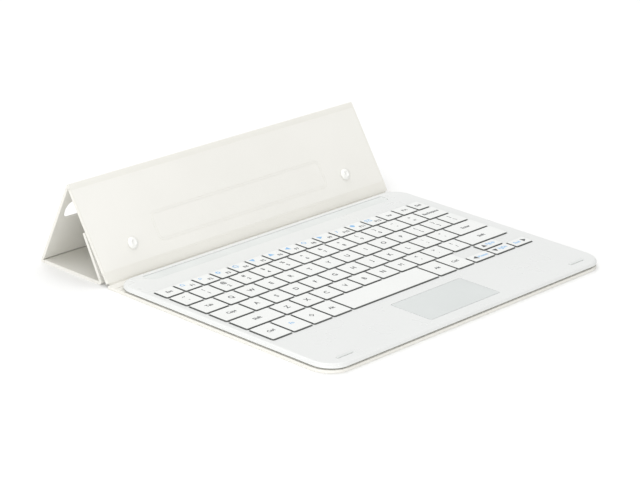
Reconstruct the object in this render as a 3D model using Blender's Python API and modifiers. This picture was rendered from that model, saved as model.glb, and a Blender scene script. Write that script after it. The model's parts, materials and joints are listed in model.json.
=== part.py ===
"""Tablet keyboard case: a thin keyboard on a folio cover whose back folds into a triangular stand.

Metres, +Z up. The keyboard faces -Y, the stand is behind it at +Y, and the origin is under the
middle of the whole case, on the surface it stands on. Run it in Blender's text editor or with
blender --background --python part.py.
"""

import math

import bmesh
import bpy
from mathutils import Matrix

# Clearances
GAP = 0.0003                    # between neighbouring solids
FLAP_REST_GAP = 0.0005          # flap edge to the back of the front panel
CUT = 0.004                     # how far a cutter runs past the wall it opens

# Cover
STAND_INSET = 0.0010            # stand panels' ends in from the cover's side edges
COVER_THICKNESS = 0.0018
COVER_SKIN = 0.0004
COVER_LIP = 0.0002              # cover edge past the keyboard's edge
PRESSED_EDGE = 0.0010           # width of the skin's rim around each panel's filling
LINING_THICKNESS = 0.0003
COVER_CORNER = 0.0140
COVER_BACK_CORNER = 0.0030
PANEL_CORNER = 0.0005
SCORE_SPACING = 0.0036
SCORE_WIDTH = 0.0010
SCORE_DEPTH = 0.0004
SCORE_COUNT = 3
SCORE_SETBACK = 0.0070          # last score line to the fold behind the keyboard

# Stand: lengths between fold axes, and angles above the ground
SPINE_LENGTH = 0.0053
SPINE_ANGLE = math.radians(57.5)
FRONT_LENGTH = 0.0540
FRONT_ANGLE = math.radians(56.0)
REAR_LENGTH = 0.0531
FLOOR_LENGTH = 0.0460
FLAP_LENGTH = 0.0278
HEEL_FOLDS = math.radians(5.0)  # how far the floor panel can still fold in, before it meets the front panel

# Camera opening in the rear panel
CAMERA_WIDTH = 0.0200
CAMERA_HEIGHT = 0.0118
CAMERA_CORNER = 0.0048
CAMERA_RIM = 0.0009             # skin round the opening, inside which board and lining end
CAMERA_SIDE = 0.0040            # from the panel's left edge
CAMERA_DOWN = 0.0120            # from the ridge fold

# Snap studs on the front panel
STUD_HEAD_RADIUS = 0.0035
STUD_HEAD_HEIGHT = 0.0014
STUD_POST_RADIUS = 0.0012
STUD_DIMPLE_RADIUS = 0.0013
STUD_DIMPLE_DEPTH = 0.0005
STUD_UP = 0.0132                # from the crease
STUD_LEFT = -0.0905
STUD_RIGHT = 0.0880

# Keyboard casing
DECK_WIDTH = 0.2376
DECK_DEPTH = 0.1583
DECK_TO_FOLD = 0.0043           # cover left flat behind the keyboard
DECK_CORNER = 0.0130
DECK_LIFT = 0.0010              # shadow gap between the cover and the casing's lower lip
DECK_SIDE = 0.0023              # height of the top casing's side
DECK_RIM = 0.0021               # radius along its top edge
DECK_TOP = 0.0009               # thickness of its top
DECK_SKIRT = 0.0016             # thickness of its side
TRAY_WALL = 0.0010
TRAY_FLOOR = 0.0005
RIM_STEPS = 3
CORNER_STEPS = 5

# Keys
KEY_PITCH = 0.0158
FUNCTION_PITCH = 0.0141
KEY_GAP = 0.0013
KEY_HEIGHT = 0.0010
KEY_TRAVEL = 0.0009
KEY_DRAFT = 0.0002
KEY_CORNER = 0.0010
ROW_PITCH = 0.0147
BOTTOM_ROW = 0.0186
FUNCTION_ROW = 0.0117
FIELD_WIDTH = 0.2230
FIELD_MIDDLE = -0.0027          # the key field sits left of the middle
FIELD_FRONT = 0.0440            # keyboard's front edge to the key field
WEB_THICKNESS = 0.0003
WEB_RISE = 0.0002
PLATE_THICKNESS = 0.0003
SHEET_THICKNESS = 0.0002
PLATE_MARGIN = 0.0012           # how far the plate runs past the key field

# Touchpad, rest pad, feet, indicator
PAD_WIDTH = 0.0595
PAD_DEPTH = 0.0282
PAD_THICKNESS = 0.0008
PAD_CORNER = 0.0006
PAD_FRONT = 0.0078
REST_WIDTH = 0.2020
REST_DEPTH = 0.0085
REST_BACK = 0.0038
REST_THICKNESS = 0.0004
REST_SUNK = 0.0004
REST_CORNER = 0.0040
REST_WALL = 0.0006
FOOT_LENGTH = 0.0125
FOOT_DEPTH = 0.0018
FOOT_OUT = 0.1000               # from the middle
FOOT_FRONT = 0.0075
FOOT_SUNK = 0.0003
FOOT_PROUD = 0.0005
LIGHT_LENGTH = 0.0042
LIGHT_DEPTH = 0.0012
LIGHT_X = 0.0968
LIGHT_BACK = 0.0172

# Inside the casing
BATTERY_WIDTH = 0.0560
BATTERY_DEPTH = 0.0280
BATTERY_THICKNESS = 0.0009
BATTERY_X = -0.0640
BOARD_WIDTH = 0.0520
BOARD_DEPTH = 0.0260
CIRCUIT_THICKNESS = 0.0006
CIRCUIT_X = 0.0640
INSIDE_Y = 0.0220               # middle of battery and circuit from the front edge
SOCKET_WIDTH = 0.0076
SOCKET_HEIGHT = 0.0015
SOCKET_DEPTH = 0.0042
SOCKET_WALL = 0.0003
SOCKET_FRONT = 0.1250
SOCKET_RECESS = 0.0004
SWITCH_LENGTH = 0.0030
SWITCH_HEIGHT = 0.0010
SWITCH_DEPTH = 0.0030
SWITCH_TRAVEL = 0.0020
SWITCH_FRONT = 0.1060

# Derived places
HALF = COVER_THICKNESS / 2
COVER_WIDTH = DECK_WIDTH + 2 * COVER_LIP
STAND_WIDTH = COVER_WIDTH - 2 * STAND_INSET
BOARD_THICKNESS = COVER_THICKNESS - COVER_SKIN - LINING_THICKNESS - 2 * GAP
COVER_FRONT_TO_FOLD = COVER_LIP + DECK_DEPTH + DECK_TO_FOLD + HALF
SPINE_FOLD = (COVER_FRONT_TO_FOLD, HALF)
CREASE = (
    SPINE_FOLD[0] + SPINE_LENGTH * math.cos(SPINE_ANGLE),
    SPINE_FOLD[1] + SPINE_LENGTH * math.sin(SPINE_ANGLE),
)
RIDGE = (
    CREASE[0] + FRONT_LENGTH * math.cos(FRONT_ANGLE),
    CREASE[1] + FRONT_LENGTH * math.sin(FRONT_ANGLE),
)
REAR_ANGLE = -math.asin((RIDGE[1] - HALF) / REAR_LENGTH)
HEEL = (RIDGE[0] + REAR_LENGTH * math.cos(REAR_ANGLE), HALF)
TOE = (HEEL[0] - FLOOR_LENGTH, COVER_THICKNESS)


def flap_angle():
    """The angle at which the flap's top edge rests, with its gap, on the back of the front panel."""
    behind = math.sin(FRONT_ANGLE) * (TOE[0] - CREASE[0]) - math.cos(FRONT_ANGLE) * (TOE[1] - CREASE[1])
    reach = (behind - HALF - FLAP_REST_GAP) / math.hypot(FLAP_LENGTH, COVER_THICKNESS)
    return FRONT_ANGLE + math.asin(reach) - math.atan2(COVER_THICKNESS, FLAP_LENGTH)


FLAP_ANGLE = flap_angle()
WHOLE_DEPTH = HEEL[0] + HALF
FRONT_Y = -WHOLE_DEPTH / 2
DECK_FRONT = FRONT_Y + COVER_LIP
DECK_BACK = DECK_FRONT + DECK_DEPTH
DECK_MIDDLE = (DECK_FRONT + DECK_BACK) / 2
LIP_Z = COVER_THICKNESS + DECK_LIFT
SURFACE_Z = LIP_Z + DECK_SIDE
UNDER_TOP_Z = SURFACE_Z - DECK_TOP
TRAY_Z = COVER_THICKNESS + GAP
TRAY_INSET = DECK_SKIRT + GAP
TRAY_INSIDE_Z = TRAY_Z + TRAY_FLOOR
SHEET_Z = TRAY_INSIDE_Z + GAP
PLATE_Z = SHEET_Z + SHEET_THICKNESS + GAP
KEY_Z = PLATE_Z + PLATE_THICKNESS + GAP + KEY_TRAVEL
FIELD_LEFT = FIELD_MIDDLE - FIELD_WIDTH / 2
FIELD_RIGHT = FIELD_MIDDLE + FIELD_WIDTH / 2
FIELD_FRONT_Y = DECK_FRONT + FIELD_FRONT
LETTER_ROWS = 4
FIELD_DEPTH = BOTTOM_ROW + LETTER_ROWS * ROW_PITCH + FUNCTION_ROW
FIELD_BACK_Y = FIELD_FRONT_Y + FIELD_DEPTH

parts = bpy.data.collections.new("tablet_keyboard_case")
cutters = bpy.data.collections.new("cutters")


def clear_scene():
    for old in list(bpy.data.objects):
        bpy.data.objects.remove(old, do_unlink=True)
    for collection in (parts, cutters):
        bpy.context.scene.collection.children.link(collection)


# Materials


def material(name, colour, roughness, metallic=0.0):
    made = bpy.data.materials.new(name)
    made.use_nodes = True
    shader = made.node_tree.nodes["Principled BSDF"]
    shader.inputs["Base Color"].default_value = (*colour, 1.0)
    shader.inputs["Roughness"].default_value = roughness
    shader.inputs["Metallic"].default_value = metallic
    return made


SKIN = material("ivory_cover_skin", (0.86, 0.85, 0.80), 0.55)
LINING = material("ivory_lining", (0.84, 0.83, 0.78), 0.60)
BOARD = material("grey_board", (0.45, 0.44, 0.41), 0.85)
STEEL = material("sheet_steel", (0.55, 0.56, 0.57), 0.35, 1.0)
MAGNET = material("coated_magnet", (0.30, 0.30, 0.31), 0.45, 0.8)
CASING = material("gloss_white_casing", (0.86, 0.88, 0.87), 0.18)
TRAY = material("matt_white_tray", (0.74, 0.75, 0.74), 0.50)
KEYCAP = material("white_keycap", (0.90, 0.91, 0.91), 0.35)
TOUCH = material("grey_touchpad", (0.70, 0.73, 0.72), 0.45)
REST = material("grey_green_pad", (0.74, 0.78, 0.74), 0.60)
STUD = material("white_stud", (0.88, 0.88, 0.85), 0.30)
FILM = material("clear_film", (0.70, 0.74, 0.72), 0.30)
CIRCUIT = material("green_circuit", (0.05, 0.25, 0.12), 0.40)
CELL = material("foil_cell", (0.62, 0.63, 0.64), 0.35, 0.6)
LENS = material("milky_lens", (0.80, 0.84, 0.85), 0.20)


# Shapes


def add_object(name, mesh, look=None, parent=None, place=(0, 0, 0), collection=None):
    made = bpy.data.objects.new(name, mesh)
    (collection or parts).objects.link(made)
    made.location = place
    made.parent = parent
    if look:
        made.data.materials.append(look)
    return made


def slab_mesh(name, size, low, corner=0.0, corner_steps=CORNER_STEPS, rim=0.0, rim_steps=RIM_STEPS):
    """A plate of the given size with its lowest corner at low, upright edges and top rim rounded."""
    bm = bmesh.new()
    bmesh.ops.create_cube(bm, size=1.0)
    bmesh.ops.scale(bm, vec=size, verts=bm.verts)
    bmesh.ops.translate(bm, vec=[at + side / 2 for at, side in zip(low, size)], verts=bm.verts)
    if corner:
        upright = [e for e in bm.edges if abs(e.verts[0].co.z - e.verts[1].co.z) > size[2] / 2]
        bmesh.ops.bevel(bm, geom=upright, offset=corner, segments=corner_steps, profile=0.5, affect="EDGES")
    if rim:
        top = low[2] + size[2]
        edges = [e for e in bm.edges if all(abs(v.co.z - top) < size[2] * 0.01 for v in e.verts)]
        edges = [e for e in edges if any(abs(f.normal.z) < 0.5 for f in e.link_faces)]
        bmesh.ops.bevel(bm, geom=edges, offset=rim, segments=rim_steps, profile=0.5, affect="EDGES")
    mesh = bpy.data.meshes.new(name)
    bm.to_mesh(mesh)
    bm.free()
    return mesh


def slab(name, look, x, y, z, parent=None, **rounding):
    """A plate between the given (low, high) pairs, as an object with its origin at its parent's."""
    size = (x[1] - x[0], y[1] - y[0], z[1] - z[0])
    return add_object(name, slab_mesh(name, size, (x[0], y[0], z[0]), **rounding), look, parent)


def cutter_box(name, x, y, z, parent=None, **rounding):
    size = (x[1] - x[0], y[1] - y[0], z[1] - z[0])
    mesh = slab_mesh(name, size, (x[0], y[0], z[0]), **rounding)
    made = add_object(name, mesh, None, parent, collection=cutters)
    made.hide_render = True
    made.display_type = "WIRE"
    return made


def combine(target, tool, operation="DIFFERENCE"):
    modifier = target.modifiers.new(f"{operation.lower()}_{tool.name}"[:60], "BOOLEAN")
    modifier.operation = operation
    modifier.solver = "EXACT"
    modifier.object = tool


def turned(name, look, profile, steps, parent, place):
    """A turned piece: profile is (radius, height) pairs from the bottom of the axis to its top."""
    bm = bmesh.new()
    points = [bm.verts.new((radius, 0.0, height)) for radius, height in profile]
    for first, second in zip(points, points[1:]):
        bm.edges.new((first, second))
    mesh = bpy.data.meshes.new(name)
    bm.to_mesh(mesh)
    bm.free()
    made = add_object(name, mesh, look, parent, place)
    screw = made.modifiers.new("turn", "SCREW")
    screw.steps = steps
    screw.render_steps = steps
    screw.use_merge_vertices = True
    screw.merge_threshold = 0.00005
    screw.use_normal_calculate = True
    return made


def axis_empty(name, parent, at, angle):
    """An empty on a fold axis whose local +Y runs along the panel that turns about it."""
    made = bpy.data.objects.new(name, None)
    parts.objects.link(made)
    made.parent = parent
    made.location = (0.0, at[0], at[1])
    made.rotation_euler = (angle, 0.0, 0.0)
    return made


# Cover and stand


def setback(tightest):
    """How far a panel ends from its fold axis, so that two panels at that inner angle stay apart."""
    return HALF / math.tan(min(tightest, math.pi / 2) / 2) + GAP


def fold_bead(name, parent, width, at=0.0):
    """The rounded skin along a fold, centred on the fold axis."""
    radius = HALF
    bm = bmesh.new()
    bmesh.ops.create_cone(bm, cap_ends=True, segments=12, radius1=radius, radius2=radius, depth=width)
    bmesh.ops.rotate(bm, matrix=Matrix.Rotation(math.pi / 2, 3, "Y"), verts=bm.verts)
    mesh = bpy.data.meshes.new(name)
    bm.to_mesh(mesh)
    bm.free()
    made = add_object(name, mesh, SKIN, parent, (0.0, at, 0.0))
    made.data.shade_smooth()
    made.data.set_sharp_from_angle(angle=math.radians(40))
    return made


def panel(name, parent, length, near, far, filling, filling_look, back=-HALF):
    """One stand panel between two folds: a skin tray, a stiff filling and a lining, in its own frame.

    back is the height of its skin side over the fold axis; the lining is on the other side.
    """
    side = STAND_WIDTH / 2
    low, high = near, length - far
    front = back + COVER_THICKNESS
    skin = slab(
        f"{name}_skin", SKIN, (-side, side), (low, high), (back, front), parent,
        corner=PANEL_CORNER, corner_steps=3,
    )
    pocket_x = (-side + PRESSED_EDGE, side - PRESSED_EDGE)
    pocket_y = (low + PRESSED_EDGE, high - PRESSED_EDGE)
    floor = back + COVER_SKIN
    pocket = cutter_box(f"{name}_pocket", pocket_x, pocket_y, (floor, front + CUT), parent)
    combine(skin, pocket)
    inner_x = (pocket_x[0] + GAP, pocket_x[1] - GAP)
    inner_y = (pocket_y[0] + GAP, pocket_y[1] - GAP)
    stiff = slab(
        f"{name}_{filling}", filling_look, inner_x, inner_y,
        (floor + GAP, floor + GAP + BOARD_THICKNESS), parent,
    )
    lining = slab(
        f"{name}_lining", LINING, inner_x, inner_y, (front - LINING_THICKNESS, front), parent
    )
    return skin, stiff, lining


def make_base():
    fold = FRONT_Y + COVER_FRONT_TO_FOLD
    side = COVER_WIDTH / 2
    end = fold - setback(math.pi / 2)
    base = slab(
        "base_cover", SKIN, (-side, side), (FRONT_Y, end + COVER_CORNER), (0.0, COVER_THICKNESS),
        corner=COVER_CORNER,
    )
    trim = cutter_box("base_end", (-side - CUT, side + CUT), (end, fold + 2 * COVER_CORNER), (-CUT, CUT))
    combine(base, trim)
    for index in range(SCORE_COUNT):
        middle = fold - SCORE_SETBACK - index * SCORE_SPACING
        score = cutter_box(
            f"score_{index}", (-side - CUT, side + CUT),
            (middle - SCORE_WIDTH / 2, middle + SCORE_WIDTH / 2),
            (COVER_THICKNESS - SCORE_DEPTH, COVER_THICKNESS + CUT),
        )
        combine(base, score)


def make_stand():
    fold = axis_empty("spine_axis", None, (FRONT_Y + SPINE_FOLD[0], SPINE_FOLD[1]), SPINE_ANGLE)
    crease = axis_empty("crease_axis", fold, (SPINE_LENGTH, 0.0), FRONT_ANGLE - SPINE_ANGLE)
    ridge = axis_empty("ridge_axis", crease, (FRONT_LENGTH, 0.0), REAR_ANGLE - FRONT_ANGLE)
    heel = axis_empty("heel_axis", ridge, (REAR_LENGTH, 0.0), -math.pi - REAR_ANGLE)
    toe = axis_empty("toe_axis", heel, (FLOOR_LENGTH, -HALF), FLAP_ANGLE - math.pi)
    ridge_angle = math.pi - (FRONT_ANGLE - REAR_ANGLE)
    heel_angle = -REAR_ANGLE - HEEL_FOLDS
    spine_gap = setback(math.pi / 2)
    slab(
        "spine_panel", SKIN, (-STAND_WIDTH / 2, STAND_WIDTH / 2),
        (spine_gap, SPINE_LENGTH - spine_gap), (-HALF, HALF), fold,
    )
    front = panel(
        "front_panel", crease, FRONT_LENGTH, spine_gap, setback(ridge_angle), "board", STEEL
    )
    rear = panel(
        "rear_panel", ridge, REAR_LENGTH, setback(ridge_angle), setback(heel_angle), "board", BOARD
    )
    panel(
        "floor_panel", heel, FLOOR_LENGTH, setback(heel_angle), spine_gap, "board", BOARD
    )
    panel("flap_panel", toe, FLAP_LENGTH, spine_gap, 0.0, "magnet_strip", MAGNET, back=0.0)
    fold_bead("spine_fold", fold, COVER_WIDTH - 2 * COVER_BACK_CORNER)
    fold_bead("crease_fold", crease, STAND_WIDTH)
    fold_bead("ridge_fold", ridge, STAND_WIDTH)
    fold_bead("heel_fold", heel, STAND_WIDTH)
    fold_bead("toe_fold", toe, STAND_WIDTH)
    make_camera_opening(rear, ridge)
    make_studs(front, crease)


def make_camera_opening(layers, ridge):
    left = -STAND_WIDTH / 2 + CAMERA_SIDE
    hole = cutter_box(
        "camera_hole", (left, left + CAMERA_WIDTH), (CAMERA_DOWN, CAMERA_DOWN + CAMERA_HEIGHT),
        (-CUT, CUT), ridge, corner=CAMERA_CORNER, corner_steps=4,
    )
    inner = cutter_box(
        "camera_inner", (left - CAMERA_RIM, left + CAMERA_WIDTH + CAMERA_RIM),
        (CAMERA_DOWN - CAMERA_RIM, CAMERA_DOWN + CAMERA_HEIGHT + CAMERA_RIM), (-CUT, CUT), ridge,
        corner=CAMERA_CORNER + CAMERA_RIM, corner_steps=4,
    )
    skin, board, lining = layers
    combine(skin, hole)
    combine(board, inner)
    combine(lining, inner)


def make_studs(layers, crease):
    _, board, lining = layers
    head = HALF + GAP
    bottom = -HALF + COVER_SKIN + GAP
    top = head + STUD_HEAD_HEIGHT
    profile = [
        (0.0, bottom),
        (STUD_POST_RADIUS, bottom),
        (STUD_POST_RADIUS, head),
        (STUD_HEAD_RADIUS, head),
        (STUD_HEAD_RADIUS, top - STUD_HEAD_HEIGHT * 0.45),
        (STUD_HEAD_RADIUS * 0.86, top - STUD_HEAD_HEIGHT * 0.12),
        (STUD_HEAD_RADIUS * 0.62, top),
        (STUD_DIMPLE_RADIUS, top),
        (STUD_DIMPLE_RADIUS * 0.7, top - STUD_DIMPLE_DEPTH),
        (0.0, top - STUD_DIMPLE_DEPTH),
    ]
    for name, x in (("snap_stud_left", STUD_LEFT), ("snap_stud_right", STUD_RIGHT)):
        turned(name, STUD, profile, 20, crease, (x, STUD_UP, 0.0))
        clear = STUD_POST_RADIUS + GAP
        hole = cutter_box(
            f"{name}_hole", (x - clear, x + clear), (STUD_UP - clear, STUD_UP + clear), (-CUT, CUT),
            crease, corner=clear * 0.6, corner_steps=2,
        )
        combine(board, hole)
        combine(lining, hole)


# Keyboard


def key_rows():
    """Rows from the front: (depth, [(group name, [key pitches])]). The last pitch fills the row."""
    unit = [KEY_PITCH]
    small = [FUNCTION_PITCH]
    return [
        (ROW_PITCH, [("left_shift_key", [0.0309]), ("lower_keys_left", unit * 5),
                     ("lower_keys_right", unit * 5), ("right_shift_key", [None])]),
        (ROW_PITCH, [("caps_key", [0.0227]), ("home_keys_left", unit * 6),
                     ("home_keys_right", unit * 5), ("enter_key", [None])]),
        (ROW_PITCH, [("tab_key", [0.0186]), ("upper_keys_left", unit * 4),
                     ("upper_keys_middle", unit * 4), ("upper_keys_right", unit * 4 + [None])]),
        (ROW_PITCH, [("number_keys_left", [0.0145] + unit * 4), ("number_keys_middle", unit * 4),
                     ("number_keys_right", unit * 4), ("backspace_key", [None])]),
        (FUNCTION_ROW, [("function_keys_left", [0.0144] + small * 4),
                        ("function_keys_middle", small * 6),
                        ("function_keys_right", small * 4 + [None])]),
    ]


BOTTOM_LEFT_PITCHES = [0.0162] + [KEY_PITCH] * 3
SPACE_PITCH = 0.0737
BOTTOM_RIGHT_PITCHES = [KEY_PITCH] * 2
LEFT_ARROW_PITCH = 0.0190
MIDDLE_ARROW_PITCH = 0.0188


def cap_cells(x, pitches, y):
    """Cells (x low, x high, y low, y high) of a run of keys from x; a pitch of None runs to the field's edge."""
    cells = []
    for pitch in pitches:
        end = FIELD_RIGHT if pitch is None else x + pitch
        cells.append((x, end, y[0], y[1]))
        x = end
    return cells, x


def cap_mesh(name, cells):
    """The keycaps of one group, each tapered towards its top, as separate closed shells."""
    bm = bmesh.new()
    half = KEY_GAP / 2
    for x0, x1, y0, y1 in cells:
        size = (x1 - x0 - KEY_GAP, y1 - y0 - KEY_GAP, KEY_HEIGHT)
        single = slab_mesh(
            "cap", size, (x0 + half, y0 + half, KEY_Z), corner=KEY_CORNER, corner_steps=2
        )
        before = set(bm.verts)
        bm.from_mesh(single)
        bpy.data.meshes.remove(single)
        middle = ((x0 + x1) / 2, (y0 + y1) / 2)
        for vert in set(bm.verts) - before:
            if vert.co.z > KEY_Z + KEY_HEIGHT / 2:
                vert.co.x -= math.copysign(KEY_DRAFT, vert.co.x - middle[0])
                vert.co.y -= math.copysign(KEY_DRAFT, vert.co.y - middle[1])
    mesh = bpy.data.meshes.new(name)
    bm.to_mesh(mesh)
    bm.free()
    return mesh


def key_group(name, cells):
    """One moving key, or a run of neighbouring keys that share a carrier web."""
    if len(cells) == 1:
        return add_object(name, cap_mesh(name, cells), KEYCAP)
    first, last = cells[0], cells[-1]
    middle = (first[2] + first[3]) / 2
    reach = (first[3] - first[2]) / 4
    low = KEY_Z + WEB_RISE
    web = slab(
        name, KEYCAP, ((first[0] + first[1]) / 2, (last[0] + last[1]) / 2),
        (middle - reach, middle + reach), (low, low + WEB_THICKNESS),
    )
    caps = add_object(f"{name}_caps", cap_mesh(f"{name}_caps", cells), None, collection=cutters)
    caps.hide_render = True
    caps.display_type = "WIRE"
    combine(web, caps, "UNION")
    return web


def make_keys():
    """All keys, and the casing's key well as overlapping boxes.

    The well leaves a rib of the casing in front of the blank corner above the left arrow key.
    """
    y = FIELD_FRONT_Y
    back = y + BOTTOM_ROW
    half_back = y + BOTTOM_ROW / 2
    cells, x = cap_cells(FIELD_LEFT, BOTTOM_LEFT_PITCHES, (y, back))
    key_group("left_modifier_keys", cells)
    cells, x = cap_cells(x, [SPACE_PITCH], (y, back))
    key_group("space_key", cells)
    cells, x = cap_cells(x, BOTTOM_RIGHT_PITCHES, (y, back))
    key_group("right_modifier_keys", cells)
    arrows_x = x
    up_x = x + LEFT_ARROW_PITCH
    key_group("left_arrow_key", [(x, up_x, y, half_back)])
    key_group("down_arrow_key", [(up_x, up_x + MIDDLE_ARROW_PITCH, y, half_back)])
    key_group("up_arrow_key", [(up_x, up_x + MIDDLE_ARROW_PITCH, half_back, back)])
    key_group("right_arrow_key", [(up_x + MIDDLE_ARROW_PITCH, FIELD_RIGHT, y, half_back)])
    row_y = back
    for depth, groups in key_rows():
        x = FIELD_LEFT
        for name, pitches in groups:
            cells, x = cap_cells(x, pitches, (row_y, row_y + depth))
            key_group(name, cells)
        row_y += depth
    overlap = KEY_GAP
    rib = (KEY_GAP - 2 * GAP) / 2
    return [
        (FIELD_LEFT, FIELD_RIGHT, back, FIELD_BACK_Y),
        (FIELD_LEFT, arrows_x - rib, y, back + overlap),
        (arrows_x + rib, FIELD_RIGHT, y, half_back),
        (up_x, up_x + MIDDLE_ARROW_PITCH, half_back - overlap, back + overlap),
    ]


def inset_slab(name, look, inset, z, maker=slab, **rounding):
    """A plate of the casing's outline, drawn in by inset on every side."""
    half_width = DECK_WIDTH / 2 - inset
    y = (DECK_FRONT + inset, DECK_BACK - inset)
    corner = DECK_CORNER - inset
    if maker is slab:
        return slab(name, look, (-half_width, half_width), y, z, corner=corner, **rounding)
    return cutter_box(name, (-half_width, half_width), y, z, corner=corner, **rounding)


def make_casing(well):
    casing = inset_slab("keyboard_top_casing", CASING, 0.0, (LIP_Z, SURFACE_Z), rim=DECK_RIM)
    hollow = inset_slab("casing_hollow", None, DECK_SKIRT, (LIP_Z - CUT, UNDER_TOP_Z), cutter_box)
    combine(casing, hollow)
    rest_x = REST_WIDTH / 2
    rest_y = (DECK_BACK - REST_BACK - REST_DEPTH, DECK_BACK - REST_BACK)
    groove_floor = SURFACE_Z - REST_SUNK - REST_THICKNESS - GAP
    trough = cutter_box(
        "rest_trough", (-rest_x - REST_WALL, rest_x + REST_WALL),
        (rest_y[0] - REST_WALL, rest_y[1] + REST_WALL),
        (groove_floor - REST_WALL, UNDER_TOP_Z + DECK_TOP / 2),
    )
    combine(casing, trough, "UNION")
    groove = cutter_box(
        "rest_groove", (-rest_x, rest_x), rest_y, (groove_floor, SURFACE_Z + CUT),
        corner=REST_CORNER, corner_steps=4,
    )
    combine(casing, groove)
    slab(
        "rest_pad", REST, (-rest_x + GAP, rest_x - GAP), (rest_y[0] + GAP, rest_y[1] - GAP),
        (groove_floor + GAP, SURFACE_Z - REST_SUNK), corner=REST_CORNER - GAP, corner_steps=4,
    )
    for index, (x0, x1, y0, y1) in enumerate(well):
        combine(casing, cutter_box(f"key_well_{index}", (x0, x1), (y0, y1), (LIP_Z - CUT, SURFACE_Z + CUT)))
    make_touchpad(casing)
    make_feet(casing)
    make_indicator(casing)
    make_side_controls(casing)


def make_touchpad(casing):
    half = PAD_WIDTH / 2
    y = (DECK_FRONT + PAD_FRONT, DECK_FRONT + PAD_FRONT + PAD_DEPTH)
    window = cutter_box(
        "touchpad_window", (-half - GAP, half + GAP), (y[0] - GAP, y[1] + GAP),
        (LIP_Z - CUT, SURFACE_Z + CUT), corner=PAD_CORNER + GAP, corner_steps=2,
    )
    combine(casing, window)
    hinge = axis_empty("touchpad_axis", None, (y[1], SURFACE_Z - PAD_THICKNESS / 2), 0.0)
    slab(
        "touchpad", TOUCH, (-half, half), (-PAD_DEPTH, 0.0), (-PAD_THICKNESS / 2, PAD_THICKNESS / 2),
        hinge, corner=PAD_CORNER, corner_steps=2,
    )


def make_feet(casing):
    y = DECK_FRONT + FOOT_FRONT
    for name, x in (("front_bumper_left", -FOOT_OUT), ("front_bumper_right", FOOT_OUT)):
        half = FOOT_LENGTH / 2
        pocket = cutter_box(
            f"{name}_pocket", (x - half - GAP, x + half + GAP),
            (y - FOOT_DEPTH / 2 - GAP, y + FOOT_DEPTH / 2 + GAP),
            (SURFACE_Z - FOOT_SUNK - GAP, SURFACE_Z + CUT),
            corner=FOOT_DEPTH * 0.45, corner_steps=3,
        )
        combine(casing, pocket)
        slab(
            name, REST, (x - half, x + half), (y - FOOT_DEPTH / 2, y + FOOT_DEPTH / 2),
            (SURFACE_Z - FOOT_SUNK, SURFACE_Z + FOOT_PROUD), corner=FOOT_DEPTH * 0.4, corner_steps=3,
        )


def make_indicator(casing):
    y = DECK_BACK - LIGHT_BACK
    half = LIGHT_LENGTH / 2
    window = cutter_box(
        "indicator_window", (LIGHT_X - half - GAP, LIGHT_X + half + GAP),
        (y - LIGHT_DEPTH / 2 - GAP, y + LIGHT_DEPTH / 2 + GAP), (UNDER_TOP_Z - GAP, SURFACE_Z + CUT),
        corner=LIGHT_DEPTH * 0.5, corner_steps=3,
    )
    combine(casing, window)
    slab(
        "indicator_lens", LENS, (LIGHT_X - half, LIGHT_X + half),
        (y - LIGHT_DEPTH / 2, y + LIGHT_DEPTH / 2), (UNDER_TOP_Z, SURFACE_Z),
        corner=LIGHT_DEPTH * 0.4, corner_steps=3,
    )


def make_side_controls(casing):
    """The charging socket and the sliding power switch in the casing's right side, with their slots."""
    edge = DECK_WIDTH / 2
    tray = inset_slab("keyboard_bottom_tray", TRAY, TRAY_INSET, (TRAY_Z, UNDER_TOP_Z - GAP))
    inset = TRAY_INSET + TRAY_WALL
    hollow = inset_slab("tray_hollow", None, inset, (TRAY_INSIDE_Z, UNDER_TOP_Z + CUT), cutter_box)
    combine(tray, hollow)
    y = DECK_FRONT + SOCKET_FRONT
    low = LIP_Z
    socket_y = (y - SOCKET_WIDTH / 2, y + SOCKET_WIDTH / 2)
    slot = cutter_box(
        "socket_slot", (edge - SOCKET_DEPTH - CUT, edge + CUT), (socket_y[0] - GAP, socket_y[1] + GAP),
        (low - GAP, low + SOCKET_HEIGHT + GAP),
    )
    combine(casing, slot)
    combine(tray, slot)
    mouth = edge - SOCKET_RECESS
    socket = slab("charge_socket", STEEL, (mouth - SOCKET_DEPTH, mouth), socket_y, (low, low + SOCKET_HEIGHT))
    throat = cutter_box(
        "socket_throat", (mouth - SOCKET_DEPTH + SOCKET_WALL, mouth + CUT),
        (socket_y[0] + SOCKET_WALL, socket_y[1] - SOCKET_WALL),
        (low + SOCKET_WALL, low + SOCKET_HEIGHT - SOCKET_WALL),
    )
    combine(socket, throat)
    y = DECK_FRONT + SWITCH_FRONT
    slider_y = (y - SWITCH_LENGTH / 2, y + SWITCH_LENGTH / 2)
    slot = cutter_box(
        "switch_slot", (edge - SWITCH_DEPTH - CUT, edge + CUT),
        (slider_y[0] - GAP, slider_y[1] + SWITCH_TRAVEL + GAP),
        (low + GAP, low + SWITCH_HEIGHT + 3 * GAP),
    )
    combine(casing, slot)
    combine(tray, slot)
    slab(
        "power_switch", TRAY, (edge - SWITCH_DEPTH, edge), slider_y,
        (low + 2 * GAP, low + SWITCH_HEIGHT + 2 * GAP),
    )


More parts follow.
